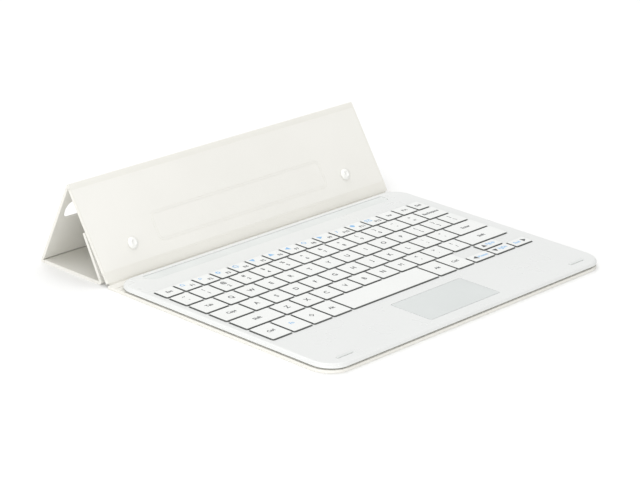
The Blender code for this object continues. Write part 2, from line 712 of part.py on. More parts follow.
def make_inside():
    plate_x = (FIELD_LEFT - PLATE_MARGIN, FIELD_RIGHT + PLATE_MARGIN)
    plate_y = (FIELD_FRONT_Y - PLATE_MARGIN, FIELD_BACK_Y + PLATE_MARGIN)
    slab("dome_sheet", FILM, plate_x, plate_y, (SHEET_Z, SHEET_Z + SHEET_THICKNESS))
    slab("key_plate", STEEL, plate_x, plate_y, (PLATE_Z, PLATE_Z + PLATE_THICKNESS))
    y = DECK_FRONT + INSIDE_Y
    low = TRAY_INSIDE_Z + GAP
    slab(
        "battery", CELL, (BATTERY_X - BATTERY_WIDTH / 2, BATTERY_X + BATTERY_WIDTH / 2),
        (y - BATTERY_DEPTH / 2, y + BATTERY_DEPTH / 2), (low, low + BATTERY_THICKNESS),
    )
    slab(
        "circuit_board", CIRCUIT, (CIRCUIT_X - BOARD_WIDTH / 2, CIRCUIT_X + BOARD_WIDTH / 2),
        (y - BOARD_DEPTH / 2, y + BOARD_DEPTH / 2), (low, low + CIRCUIT_THICKNESS),
    )


clear_scene()
make_base()
make_stand()
make_casing(make_keys())
make_inside()
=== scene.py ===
import json
import math

import bmesh
import bpy
from mathutils import Matrix, Vector


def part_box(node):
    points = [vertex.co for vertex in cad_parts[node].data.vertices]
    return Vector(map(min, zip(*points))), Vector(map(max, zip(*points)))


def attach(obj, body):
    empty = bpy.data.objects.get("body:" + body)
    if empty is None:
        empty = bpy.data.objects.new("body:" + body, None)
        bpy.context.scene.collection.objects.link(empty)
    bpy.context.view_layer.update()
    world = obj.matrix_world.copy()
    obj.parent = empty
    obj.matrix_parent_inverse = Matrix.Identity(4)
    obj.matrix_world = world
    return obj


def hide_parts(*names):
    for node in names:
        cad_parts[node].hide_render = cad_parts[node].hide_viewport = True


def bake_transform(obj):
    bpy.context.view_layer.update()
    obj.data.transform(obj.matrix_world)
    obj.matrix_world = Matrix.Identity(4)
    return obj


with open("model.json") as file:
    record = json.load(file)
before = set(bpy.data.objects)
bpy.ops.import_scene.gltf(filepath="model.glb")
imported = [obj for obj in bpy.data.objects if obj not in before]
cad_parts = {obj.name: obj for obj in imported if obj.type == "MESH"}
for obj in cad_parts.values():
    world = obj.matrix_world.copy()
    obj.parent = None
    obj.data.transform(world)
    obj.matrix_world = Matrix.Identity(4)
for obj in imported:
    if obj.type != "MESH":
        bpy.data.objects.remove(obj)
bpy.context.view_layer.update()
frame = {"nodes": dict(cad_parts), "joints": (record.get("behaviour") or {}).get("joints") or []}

# ---------------------------------------------------------------------------------------------
# The room: a pale seamless table, a broad soft box above and behind the case, a weaker one at
# the left, and the camera in front of the case's left end.

TABLE_SIDE = 6.0
TABLE_WHITE = (0.93, 0.93, 0.925)
LOOK_AT = Vector((0.0262, 0.0282, 0.0))
LOOK_DISTANCE = 1.4480
LOOK_AZIMUTH = math.radians(40.77)
LOOK_DOWN = math.radians(20.41)
CAMERA_ROLL = math.radians(2.88)
LENS_LENGTH = 140.4
SENSOR_WIDTH = 36.0
NEAREST_SEEN = 0.01
TABLE_ROUGHNESS = 0.55
TABLE_CLOUD = 0.4
TABLE_DULLER = 0.99                # the table's darker shade, as a share of its white
OVERHEAD_PLACE = (0.1, 0.45, 1.5)
OVERHEAD_AIM = (0.0, 0.0, 0.0)
OVERHEAD_SIZE = (1.6, 1.2)
OVERHEAD_POWER = 9.5
LEFT_PLACE = (-1.25, -0.75, 0.28)
LEFT_AIM = (-0.1, 0.085, 0.02)
LEFT_SIZE = (0.8, 0.5)
LEFT_POWER = 8.0
ROOM_LIGHT = 0.82
NOISE_LOW = 0.25
NOISE_HIGH = 0.75


def new_material(name, colour, roughness, metallic=0.0):
    """A material with one Principled shader; returns it with its tree and shader."""
    made = bpy.data.materials.new(name)
    made.use_nodes = True
    shader = made.node_tree.nodes["Principled BSDF"]
    shader.inputs["Base Color"].default_value = (*colour, 1.0)
    shader.inputs["Roughness"].default_value = roughness
    shader.inputs["Metallic"].default_value = metallic
    return made, made.node_tree, shader


def noise(tree, size, detail=3.0, stretch=(1.0, 1.0, 1.0)):
    """Noise whose lumps are about size metres across, in the piece's own space."""
    place = tree.nodes.new("ShaderNodeTexCoord")
    mapping = tree.nodes.new("ShaderNodeMapping")
    mapping.inputs["Scale"].default_value = [side / size for side in stretch]
    made = tree.nodes.new("ShaderNodeTexNoise")
    made.inputs["Scale"].default_value = 1.0
    made.inputs["Detail"].default_value = detail
    tree.links.new(place.outputs["Object"], mapping.inputs["Vector"])
    tree.links.new(mapping.outputs["Vector"], made.inputs["Vector"])
    return made.outputs["Fac"]


def spread(tree, value, low, high):
    """A noise value from NOISE_LOW to NOISE_HIGH, eased over low to high."""
    made = tree.nodes.new("ShaderNodeMapRange")
    made.interpolation_type = "SMOOTHSTEP"
    made.inputs["From Min"].default_value = NOISE_LOW
    made.inputs["From Max"].default_value = NOISE_HIGH
    made.inputs["To Min"].default_value = low
    made.inputs["To Max"].default_value = high
    tree.links.new(value, made.inputs["Value"])
    return made.outputs["Result"]


def mottle(tree, shader, value, colour, other):
    """Colour that wanders between two shades as value does."""
    mix = tree.nodes.new("ShaderNodeMix")
    mix.data_type = "RGBA"
    mix.inputs["A"].default_value = (*colour, 1.0)
    mix.inputs["B"].default_value = (*other, 1.0)
    tree.links.new(spread(tree, value, 0.0, 1.0), mix.inputs["Factor"])
    tree.links.new(mix.outputs["Result"], shader.inputs["Base Color"])


def emboss(tree, shader, heights):
    """Relief on the surface: (height value, depth in metres) pairs, one bump after another."""
    normal = None
    for height, depth in heights:
        bump = tree.nodes.new("ShaderNodeBump")
        bump.inputs["Distance"].default_value = depth
        tree.links.new(height, bump.inputs["Height"])
        if normal:
            tree.links.new(normal, bump.inputs["Normal"])
        normal = bump.outputs["Normal"]
    tree.links.new(normal, shader.inputs["Normal"])


def table_white():
    """Matt white, very faintly clouded."""
    made, tree, shader = new_material("table_white", TABLE_WHITE, TABLE_ROUGHNESS)
    duller = tuple(TABLE_DULLER * part for part in TABLE_WHITE)
    mottle(tree, shader, noise(tree, TABLE_CLOUD), TABLE_WHITE, duller)
    return made


table_mesh = bpy.data.meshes.new("table_top")
table_shape = bmesh.new()
bmesh.ops.create_grid(table_shape, x_segments=1, y_segments=1, size=TABLE_SIDE / 2)
table_shape.to_mesh(table_mesh)
table_shape.free()
table_mesh.materials.append(table_white())
table = bpy.data.objects.new("table_top", table_mesh)
bpy.context.scene.collection.objects.link(table)


def soft_box(name, place, aim, size, power):
    """A white rectangular lamp, width by height, turned to face its aim."""
    lamp = bpy.data.lights.new(name, "AREA")
    lamp.shape = "RECTANGLE"
    lamp.size, lamp.size_y = size
    lamp.energy = power
    made = bpy.data.objects.new(name, lamp)
    made.location = place
    made.rotation_euler = (Vector(aim) - Vector(place)).to_track_quat("-Z", "Y").to_euler()
    bpy.context.scene.collection.objects.link(made)


soft_box("overhead_box", OVERHEAD_PLACE, OVERHEAD_AIM, OVERHEAD_SIZE, OVERHEAD_POWER)
soft_box("left_box", LEFT_PLACE, LEFT_AIM, LEFT_SIZE, LEFT_POWER)

room = bpy.data.worlds.new("white_room")
room.use_nodes = True
room.node_tree.nodes["Background"].inputs["Color"].default_value = (1.0, 1.0, 1.0, 1.0)
room.node_tree.nodes["Background"].inputs["Strength"].default_value = ROOM_LIGHT
bpy.context.scene.world = room
bpy.context.scene.view_settings.view_transform = "Standard"

forward = Vector((
    math.cos(LOOK_DOWN) * math.cos(LOOK_AZIMUTH),
    math.cos(LOOK_DOWN) * math.sin(LOOK_AZIMUTH),
    -math.sin(LOOK_DOWN),
))
level = Vector((math.sin(LOOK_AZIMUTH), -math.cos(LOOK_AZIMUTH), 0.0))
above = level.cross(forward)
right = math.cos(CAMERA_ROLL) * level + math.sin(CAMERA_ROLL) * above
upward = right.cross(forward)
lens = bpy.data.cameras.new("camera")
lens.lens = LENS_LENGTH
lens.sensor_width = SENSOR_WIDTH
lens.clip_start = NEAREST_SEEN
camera = bpy.data.objects.new("camera", lens)
camera.matrix_world = Matrix.Translation(LOOK_AT - LOOK_DISTANCE * forward) @ Matrix(
    (right, upward, -forward)
).transposed().to_4x4()
bpy.context.scene.collection.objects.link(camera)
bpy.context.scene.camera = camera

# ---------------------------------------------------------------------------------------------
# Base cover: one sheet of ivory leatherette over a stiff core, heat-pressed round its edges.
# The keyboard is glued to it. Three score lines near the back let it flex behind the keys.

COVER_IVORY = (0.778, 0.767, 0.718)
COVER_SHADE = (0.760, 0.748, 0.698)
COVER_GRAIN = 0.00042
COVER_GRAIN_DEPTH = 0.000018
COVER_PORE = 0.00012
COVER_PORE_DEPTH = 0.000006
COVER_EDGE_ROUND = 0.00065
COVER_ROUGHNESS = 0.5
COVER_CLOUD = 0.035
COVER_GLOSS_PATCH = 0.004
COVER_GLOSS = (0.46, 0.58)         # its roughness, from and to
COVER_SHINE = 0.4
SAME_POINT = 1e-7                  # points this close are one
NEARLY_FLAT = math.radians(0.5)
HARD_EDGE = math.radians(40.0)


def leatherette(name, colour, shade):
    """Coated leatherette: fine rounded grain, smaller pores, and a faint cloudiness."""
    made, tree, shader = new_material(name, colour, COVER_ROUGHNESS)
    place = tree.nodes.new("ShaderNodeTexCoord")
    grain = tree.nodes.new("ShaderNodeTexVoronoi")
    grain.feature = "SMOOTH_F1"
    grain.inputs["Scale"].default_value = 1 / COVER_GRAIN
    tree.links.new(place.outputs["Object"], grain.inputs["Vector"])
    mottle(tree, shader, noise(tree, COVER_CLOUD), colour, shade)
    emboss(tree, shader, [
        (grain.outputs["Distance"], COVER_GRAIN_DEPTH),
        (noise(tree, COVER_PORE), COVER_PORE_DEPTH),
    ])
    gloss = spread(tree, noise(tree, COVER_GLOSS_PATCH), *COVER_GLOSS)
    tree.links.new(gloss, shader.inputs["Roughness"])
    shader.inputs["Specular IOR Level"].default_value = COVER_SHINE
    return made


def add_piece(name, mesh, finish, body, slot, *nodes):
    """Puts a finished piece in the scene, on its body, in place of the plain solids named."""
    for each in finish if isinstance(finish, list) else [finish]:
        mesh.materials.append(each)
    made = bpy.data.objects.new(name, mesh)
    bpy.context.scene.collection.objects.link(made)
    if body:
        made.modifiers.new("even_shading", "WEIGHTED_NORMAL").keep_sharp = True
        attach(made, body)
    if nodes:
        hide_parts(*nodes)
    return made


def smooth_by_angle(mesh, degrees=30.0):
    """Smooth shading, with an edge kept sharp where its faces turn by more than degrees."""
    mesh.shade_smooth()
    mesh.set_sharp_from_angle(angle=math.radians(degrees))
    return mesh


def eased(node, radius, steps=3, only=None):
    """The node's own shape with its hard edges eased; only says which edges, from one's middle."""
    shape = bmesh.new()
    shape.from_mesh(frame["nodes"][node].data)
    bmesh.ops.remove_doubles(shape, verts=shape.verts, dist=SAME_POINT)
    bmesh.ops.dissolve_limit(
        shape, angle_limit=NEARLY_FLAT, verts=shape.verts, edges=shape.edges,
        use_dissolve_boundaries=False,
    )
    hard = [edge for edge in shape.edges if edge.calc_face_angle(0.0) > HARD_EDGE]
    if only:
        hard = [edge for edge in hard if only((edge.verts[0].co + edge.verts[1].co) / 2)]
    bmesh.ops.bevel(
        shape, geom=hard, offset=radius, segments=steps, profile=0.5, affect="EDGES", clamp_overlap=True
    )
    bmesh.ops.recalc_face_normals(shape, faces=shape.faces)
    mesh = bpy.data.meshes.new(node)
    shape.to_mesh(mesh)
    shape.free()
    return smooth_by_angle(mesh)


ivory = leatherette("ivory_leatherette", COVER_IVORY, COVER_SHADE)
add_piece(
    "base_cover_skin", eased("base_cover", COVER_EDGE_ROUND), ivory,
    "base", "ivory_cover_skin", "base_cover",
)

# ---------------------------------------------------------------------------------------------
# Stand panels: each is a skin of the same leatherette, pressed up round a stiffener, with a
# smoother lining sheet set flush in its rim. The front panel is steel inside, the flap a magnet.

LINING_IVORY = (0.808, 0.798, 0.757)
LINING_SHADE = (0.790, 0.780, 0.738)
PANEL_EDGE_ROUND = 0.00030
LINING_EDGE_ROUND = 0.00006
LINING_SPREAD = 0.00028            # out to the skin's rim
SIDE_FACE = 0.7                    # a face whose normal leans out less than this is a side
LINING_ROUGHNESS = 0.74
LINING_CLOUD = 0.05
LINING_GLOSS_PATCH = 0.01
LINING_GLOSS = (0.68, 0.8)
LINING_SHINE = 0.15
BOARD_FIBRE = 0.0006
STEEL_LINE = 0.0002
STEEL_GLOSS = (0.28, 0.45)
MAGNET_GRIT = 0.0002
BOARD_GREY = (0.42, 0.40, 0.36)
BOARD_FLECK = (0.52, 0.50, 0.45)
STEEL_GREY = (0.56, 0.57, 0.58)
STEEL_DARK = (0.48, 0.49, 0.50)
MAGNET_BROWN = (0.080, 0.075, 0.072)
MAGNET_FLECK = (0.12, 0.112, 0.105)


def lining_sheet():
    """Smooth coated lining: almost no grain, a faint cloudiness in colour and gloss."""
    made, tree, shader = new_material("ivory_lining", LINING_IVORY, LINING_ROUGHNESS)
    mottle(tree, shader, noise(tree, LINING_CLOUD), LINING_IVORY, LINING_SHADE)
    emboss(tree, shader, [(noise(tree, 0.0003), 0.000005), (noise(tree, 0.006), 0.00002)])
    gloss = spread(tree, noise(tree, LINING_GLOSS_PATCH), *LINING_GLOSS)
    tree.links.new(gloss, shader.inputs["Roughness"])
    shader.inputs["Specular IOR Level"].default_value = LINING_SHINE
    return made


def pressed_board():
    """Grey board: flecks of fibre pressed flat."""
    made, tree, shader = new_material("pressed_board", BOARD_GREY, 0.9)
    fibres = noise(tree, BOARD_FIBRE, 6.0, (1.0, 3.0, 3.0))
    mottle(tree, shader, fibres, BOARD_GREY, BOARD_FLECK)
    emboss(tree, shader, [(fibres, 0.00003)])
    return made


def rolled_steel():
    """Sheet steel with the fine lines of rolling along its length."""
    made, tree, shader = new_material("rolled_steel", STEEL_GREY, 0.35, 1.0)
    lines = noise(tree, STEEL_LINE, 4.0, (0.01, 1.0, 1.0))
    mottle(tree, shader, lines, STEEL_GREY, STEEL_DARK)
    emboss(tree, shader, [(lines, 0.000004)])
    tree.links.new(spread(tree, lines, *STEEL_GLOSS), shader.inputs["Roughness"])
    return made


def magnet_rubber():
    """Rubber-bonded magnet strip: dull, dark, slightly gritty."""
    made, tree, shader = new_material("magnet_rubber", MAGNET_BROWN, 0.8)
    grit = noise(tree, MAGNET_GRIT, 5.0)
    mottle(tree, shader, grit, MAGNET_BROWN, MAGNET_FLECK)
    emboss(tree, shader, [(grit, 0.00001)])
    return made


def joint_place(name):
    """A point on a fold's axis, in the middle of the case."""
    return Vector(next(joint["pos_m"] for joint in frame["joints"] if joint["name"] == name))


def slope(node, axis):
    """The angle above level at which a panel runs away from its fold."""
    mesh = frame["nodes"][node].data
    widest = max(mesh.polygons, key=lambda face: face.area)
    run = Vector((0.0, -widest.normal.z, widest.normal.y))
    if run.dot(widest.center - axis) < 0:
        run = -run
    return math.atan2(run.z, run.y)


def along(angle):
    """The way that a panel at this angle runs from its fold."""
    return Vector((0.0, math.cos(angle), math.sin(angle)))


def out_of(angle):
    """The side of a panel at this angle that its lining is on."""
    return Vector((0.0, -math.sin(angle), math.cos(angle)))


def free_end(point):
    """Whether an edge is at a panel's left or right end, where the skin's edge is seen."""
    return abs(point.x) > stand_side - PANEL_EDGE_ROUND


def filling_rim(mesh, facing):
    """The lining spread until its edge meets the skin's rim, all round and at any opening."""
    shape = bmesh.new()
    shape.from_mesh(mesh)
    shape.normal_update()
    shifts = []
    for vertex in shape.verts:
        sides = [face.normal for face in vertex.link_faces if abs(face.normal.dot(facing)) < SIDE_FACE]
        shift = Vector()
        for side in sides:
            lacking = LINING_SPREAD - shift.dot(side)
            shift += max(lacking, 0.0) * side
        shifts.append(shift - shift.dot(facing) * facing)
    for vertex, shift in zip(shape.verts, shifts):
        vertex.co += shift
    shape.to_mesh(mesh)
    shape.free()
    return mesh


stand_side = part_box("front_panel_skin")[1].x
crease = joint_place("front_panel_hinge")
ridge = joint_place("rear_panel_hinge")
heel = joint_place("floor_panel_hinge")
toe = joint_place("flap_hinge")
spine_fold = joint_place("spine_hinge")
spine_angle = slope("spine_panel", spine_fold)
front_angle = slope("front_panel_skin", crease)
rear_angle = slope("rear_panel_skin", ridge)
floor_angle = -math.pi
flap_angle = slope("flap_panel_skin", toe) - 2 * math.pi

lining = lining_sheet()
linings = {}
for part, filling, stuff, slot, angle in (
    ("front_panel", "board", rolled_steel(), "sheet_steel", front_angle),
    ("rear_panel", "board", pressed_board(), "grey_board", rear_angle),
    ("floor_panel", "board", pressed_board(), "grey_board", floor_angle),
    ("flap_panel", "magnet_strip", magnet_rubber(), "flexible_magnet", flap_angle),
):
    body = "flap" if part == "flap_panel" else part
    skin = eased(f"{part}_skin", PANEL_EDGE_ROUND, only=None if body == "flap" else free_end)
    add_piece(f"{part}_leatherette", skin, ivory, body, "ivory_cover_skin", f"{part}_skin")
    core = eased(f"{part}_{filling}", LINING_EDGE_ROUND, 1)
    add_piece(f"{part}_stiffener", core, stuff, body, slot, f"{part}_{filling}")
    linings[part] = filling_rim(eased(f"{part}_lining", LINING_EDGE_ROUND, 2), out_of(angle))
    if part != "front_panel":
        sheet = linings[part]
        add_piece(f"{part}_lining_sheet", sheet, lining, body, "ivory_lining", f"{part}_lining")

spine_skin = eased("spine_panel", PANEL_EDGE_ROUND, only=free_end)
add_piece("spine_strip", spine_skin, ivory, "spine", "ivory_cover_skin", "spine_panel")

# ---------------------------------------------------------------------------------------------
# Front panel lining: the same lining sheet with two fine lines pressed into it, one inside the
# other, which frame the middle of the panel between the studs.

FRAME_HALF_WIDTH = 0.0710
FRAME_LOW = 0.0089
FRAME_HIGH = 0.0268
FRAME_ROUND = 0.0040
FRAME_LINE = 0.00045
FRAME_SPACE = 0.0013
FRAME_DEPTH = 0.00012
FRAME_OVER = 0.001                 # the cutter above the lining's face


def rounded(low, high, radii, steps=6):
    """A rectangle's outline, anticlockwise, with a radius for each corner from the front left."""
    corners = ((low[0], low[1]), (high[0], low[1]), (high[0], high[1]), (low[0], high[1]))
    inward = ((1, 1), (-1, 1), (-1, -1), (1, -1))
    points = []
    for index, (corner, way, radius) in enumerate(zip(corners, inward, radii)):
        middle = (corner[0] + way[0] * radius, corner[1] + way[1] * radius)
        start = math.pi * (1 + index / 2)
        for step in range(steps + 1):
            turn = start + math.pi / 2 * step / steps
            points.append((middle[0] + radius * math.cos(turn), middle[1] + radius * math.sin(turn)))
    return points


def add_stack(shape, rings):
    """Adds to shape the closed body whose outline at each height is a ring, lowest first."""
    rows = [[shape.verts.new(point) for point in ring] for ring in rings]
    for lower, upper in zip(rows, rows[1:]):
        for index in range(len(lower)):
            after = (index + 1) % len(lower)
            shape.faces.new((lower[index], lower[after], upper[after], upper[index]))
    shape.faces.new(rows[0][::-1])
    shape.faces.new(rows[-1])


def flat_ring(outline, height):
    """An outline as points in space, all at one height."""
    return [(x, y, height) for x, y in outline]


def mesh_of(name, shape, degrees=30.0):
    """A finished mesh from the shape, which is used up."""
    mesh = bpy.data.meshes.new(name)
    shape.to_mesh(mesh)
    shape.free()
    return smooth_by_angle(mesh, degrees)


def cut(mesh, tool_mesh):
    """The mesh with the tool's shape taken out of it."""
    blank = bpy.data.objects.new("blank", mesh)
    tool = bpy.data.objects.new("tool", tool_mesh)
    for each in (blank, tool):
        bpy.context.scene.collection.objects.link(each)
    modifier = blank.modifiers.new("cut", "BOOLEAN")
    modifier.operation = "DIFFERENCE"
    modifier.solver = "EXACT"
    modifier.object = tool
    bpy.context.view_layer.update()
    result = bpy.data.meshes.new_from_object(blank.evaluated_get(bpy.context.evaluated_depsgraph_get()))
    for each in (blank, tool):
        bpy.data.objects.remove(each)
    return result


def frame_lines(place):
    """Two ring-shaped cutters that just enter the lining's face, in the front panel's place."""
    shape = bmesh.new()
    section = (
        (0.0, -FRAME_DEPTH), (0.0, FRAME_OVER), (FRAME_LINE, FRAME_OVER), (FRAME_LINE, -FRAME_DEPTH),
    )
    for inset in (0.0, FRAME_SPACE):
        rings = []
        for line, height in section:
            side = FRAME_HALF_WIDTH - inset - line
            radius = FRAME_ROUND - inset - line
            low = (-side, FRAME_LOW + inset + line)
            high = (side, FRAME_HIGH - inset - line)
            rings.append(flat_ring(rounded(low, high, [radius] * 4), height))
        rows = [[shape.verts.new(place @ Vector(point)) for point in ring] for ring in rings]
        for first, second in zip(rows, rows[1:] + rows[:1]):
            for index in range(len(first)):
                after = (index + 1) % len(first)
                shape.faces.new((first[index], first[after], second[after], second[index]))
    bmesh.ops.recalc_face_normals(shape, faces=shape.faces)
    return mesh_of("frame_lines", shape)


cover_half = spine_fold.z
front_surface = (
    Matrix.Translation(crease)
    @ Matrix.Rotation(front_angle, 4, "X")
    @ Matrix.Translation((0.0, 0.0, cover_half))
)
add_piece(
    "front_panel_lining_sheet", smooth_by_angle(cut(linings["front_panel"], frame_lines(front_surface))),
    lining, "front_panel", "ivory_lining", "front_panel_lining",
)

# ---------------------------------------------------------------------------------------------
# Folds: between two panels the skin and the lining run on without a core, pressed together and
# rounded on the outside.

FOLD_STEPS = 14
FOLD_WAIST = 0.00055
FOLD_SINK = 0.00006                # a fold's face below the panels' faces


def clear_of(node, axis, direction):
    """How far along direction from the fold's axis the panel begins."""
    mesh = frame["nodes"][node].data
    return min((vertex.co - axis).dot(direction) for vertex in mesh.vertices)


def fold_strip(name, bead, axis, panels, angles, lining_side):
    """The strip between two panels at these angles, round on the far side from its hollow.

    lining_side is how far the lining's face is from the axis.
    """
    first, second = angles
    before, after = -along(first), along(second)
    ends = clear_of(panels[0], axis, before), clear_of(panels[1], axis, after)
    side = -1 if second > first else 1
    far = (lining_side if side > 0 else 2 * cover_half - lining_side) - FOLD_SINK
    near = 2 * cover_half - 2 * FOLD_SINK - far
    section = [before * ends[0] + out_of(first) * side * far]
    for step in range(FOLD_STEPS + 1):
        section.append(out_of(first + (second - first) * step / FOLD_STEPS) * side * far)
    section.append(after * ends[1] + out_of(second) * side * far)
    section.append(after * ends[1] - out_of(second) * side * near)
    section.append(-(out_of(first) + out_of(second)).normalized() * side * min(near, FOLD_WAIST))
    section.append(before * ends[0] - out_of(first) * side * near)
    shape = bmesh.new()
    low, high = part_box(bead)
    rows = [
        [shape.verts.new(axis + point + Vector((x, 0.0, 0.0))) for point in section]
        for x in (low.x, high.x)
    ]
    for index in range(len(section)):
        following = (index + 1) % len(section)
        shape.faces.new((rows[0][index], rows[0][following], rows[1][following], rows[1][index]))
    shape.faces.new(rows[0][::-1])
    shape.faces.new(rows[1])
    bmesh.ops.recalc_face_normals(shape, faces=shape.faces)
    strip = add_piece(name, mesh_of(name, shape), ivory, None, "ivory_cover_skin", bead)
    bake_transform(strip)


for fold, axis, panels, angles, bodies in (
    ("spine_fold", spine_fold, ("base_cover", "spine_panel"), (0.0, spine_angle), ("base", "spine")),
    ("crease_fold", crease, ("spine_panel", "front_panel_skin"), (spine_angle, front_angle),
     ("spine", "front_panel")),
    ("ridge_fold", ridge, ("front_panel_skin", "rear_panel_skin"), (front_angle, rear_angle),
     ("front_panel", "rear_panel")),
    ("heel_fold", heel, ("rear_panel_skin", "floor_panel_skin"), (rear_angle, floor_angle),
     ("rear_panel", "floor_panel")),
    ("toe_fold", toe, ("floor_panel_skin", "flap_panel_skin"), (floor_angle, flap_angle),
     ("floor_panel", "flap")),
):
    lining_side = toe.z if fold == "toe_fold" else cover_half
    fold_strip(f"{fold}_strip", fold, axis, panels, angles, lining_side)

# ---------------------------------------------------------------------------------------------
# Snap studs: two white nylon press studs riveted through the front panel, each with a rolled
# rim and a dimple where the setting tool pressed it.

STUD_STEPS = 48
STUD_WHITE = (0.86, 0.86, 0.835)
STUD_SHADE = (0.82, 0.82, 0.79)
STUD_ROUGHNESS = 0.38
MOULDED_CLOUD = 0.03
MOULDED_GLOSS_PATCH = 0.008


def moulded(name, colour, shade, roughness, grain=0.0004, depth=0.000006):
    """Moulded plastic: a faint texture from the mould, slight clouding, and uneven gloss."""
    made, tree, shader = new_material(name, colour, roughness)
    mottle(tree, shader, noise(tree, MOULDED_CLOUD), colour, shade)
    emboss(tree, shader, [(noise(tree, grain, 4.0), depth)])
    gloss = spread(tree, noise(tree, MOULDED_GLOSS_PATCH), 0.92 * roughness, 1.08 * roughness)
    tree.links.new(gloss, shader.inputs["Roughness"])
    return made


def stud_mesh(name):
    """The stud turned about its own axis, from its riveted foot to its dimple."""
    shape = bmesh.new()
    shape.from_mesh(frame["nodes"][name].data)
    low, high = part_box(name)
    facing = out_of(front_angle)
    heights = [(vertex.co - crease).dot(facing) for vertex in shape.verts]
    foot, top = min(heights), max(heights)
    shape.free()
    middle = Vector(((low.x + high.x) / 2, *(((low + high) / 2).yz)))
    up = (middle - crease).dot(along(front_angle))
    centre = Vector((middle.x, crease.y, crease.z)) + along(front_angle) * up
    head = (high.x - low.x) / 2
    face = cover_half
    tall = top - face
    profile = [
        (0.0, foot), (0.34 * head, foot), (0.34 * head, face + 0.05 * tall),
        (0.93 * head, face + 0.05 * tall), (0.98 * head, face + 0.12 * tall),
        (head, face + 0.25 * tall), (0.98 * head, face + 0.40 * tall),
        (0.93 * head, face + 0.50 * tall), (0.86 * head, face + 0.55 * tall),
        (0.80 * head, face + 0.62 * tall),
        (0.72 * head, face + 0.82 * tall), (0.64 * head, face + 0.94 * tall), (0.55 * head, top),
        (0.44 * head, top), (0.38 * head, top - 0.06 * tall), (0.33 * head, top - 0.20 * tall),
        (0.25 * head, top - 0.30 * tall), (0.0, top - 0.34 * tall),
    ]
    shape = bmesh.new()
    turned = [shape.verts.new((radius, 0.0, height)) for radius, height in profile]
    outline = [shape.edges.new(pair) for pair in zip(turned, turned[1:])]
    bmesh.ops.spin(
        shape, geom=turned + outline, axis=(0, 0, 1), cent=(0, 0, 0),
        angle=2 * math.pi, steps=STUD_STEPS, use_merge=True,
    )
    bmesh.ops.remove_doubles(shape, verts=shape.verts, dist=SAME_POINT)
    bmesh.ops.recalc_face_normals(shape, faces=shape.faces)
    shape.transform(Matrix.Translation(centre) @ Matrix.Rotation(front_angle, 4, "X"))
    return mesh_of(name, shape, 50.0)


stud_nylon = moulded("white_nylon", STUD_WHITE, STUD_SHADE, STUD_ROUGHNESS)
for side in ("left", "right"):
    stud = f"snap_stud_{side}"
    add_piece(f"{stud}_cap", stud_mesh(stud), stud_nylon, "front_panel", "white_stud", stud)

# ---------------------------------------------------------------------------------------------
# Bottom tray and what it holds: a matt moulded tray, greyed as painted shade in the gap under the
# casing, the dome sheet on its steel key plate, a foil battery pouch, the circuit board, and the
# charging socket's steel shell.

# The tray is greyed well below white: painted shade for the shadow in the gap under the casing.
TRAY_PAINTED_SHADE = (0.60, 0.595, 0.56)
TRAY_PAINTED_SHADE_MOTTLE = (0.57, 0.565, 0.53)
PLATE_GREY = (0.60, 0.61, 0.62)
PLATE_DARK = (0.54, 0.55, 0.56)
FOIL_GREY = (0.72, 0.73, 0.74)
FOIL_DARK = (0.60, 0.61, 0.62)
CIRCUIT_GREEN = (0.035, 0.16, 0.07)
CIRCUIT_TRACK = (0.06, 0.25, 0.11)
FILM_WHITE = (0.80, 0.82, 0.84)
FILM_SHADE = (0.74, 0.765, 0.79)
TONGUE_BLACK = (0.03, 0.03, 0.032)
TONGUE_SHADE = (0.045, 0.045, 0.048)
TONGUE_CLEAR = 0.0009              # the tongue's edges in from the socket's shell
TONGUE_THICK = 0.0004
TONGUE_ROOT = 0.0002               # its root in from the shell's inner end
TONGUE_CORNER = 0.0002
TONGUE_EASE = 0.00008
RIM_STEPS = 3


def metal(name, colour, dark, roughness, stretch=(1.0, 1.0, 1.0)):
    """Sheet metal with fine lines or crinkles in colour, relief and gloss."""
    made, tree, shader = new_material(name, colour, roughness, 1.0)
    lines = noise(tree, 0.0006, 4.0, stretch)
    mottle(tree, shader, lines, colour, dark)
    emboss(tree, shader, [(lines, 0.00001)])
    tree.links.new(spread(tree, lines, 0.8 * roughness, 1.2 * roughness), shader.inputs["Roughness"])
    return made


def circuit():
    """Green solder resist over copper tracks, which show as lighter lines in two directions."""
    made, tree, shader = new_material("circuit_green", CIRCUIT_GREEN, 0.3)
    tracks = noise(tree, 0.0012, 2.0, (0.15, 1.0, 1.0))
    mottle(tree, shader, tracks, CIRCUIT_GREEN, CIRCUIT_TRACK)
    emboss(tree, shader, [(tracks, 0.00003)])
    return made


def finish_node(node, material):
    """Gives a plain solid that stays as it is its real finish."""
    mesh = frame["nodes"][node].data
    mesh.materials.clear()
    mesh.materials.append(material)


# Painted shade: the greyed tray darkens the gap between casing and cover; the switch tab shares it.
matt_tray_painted_shade = moulded("matt_tray_painted_shade", TRAY_PAINTED_SHADE, TRAY_PAINTED_SHADE_MOTTLE, 0.55, 0.0003, 0.00001)
finish_node("keyboard_bottom_tray", matt_tray_painted_shade)
finish_node("key_plate", metal("plate_steel", PLATE_GREY, PLATE_DARK, 0.35, (0.05, 1.0, 1.0)))
finish_node("dome_sheet", moulded("dome_film", FILM_WHITE, FILM_SHADE, 0.25, 0.001, 0.00001))
finish_node("battery", metal("battery_foil", FOIL_GREY, FOIL_DARK, 0.4))
finish_node("circuit_board", circuit())
finish_node("charge_socket", metal("socket_steel", PLATE_GREY, PLATE_DARK, 0.3, (0.1, 1.0, 1.0)))


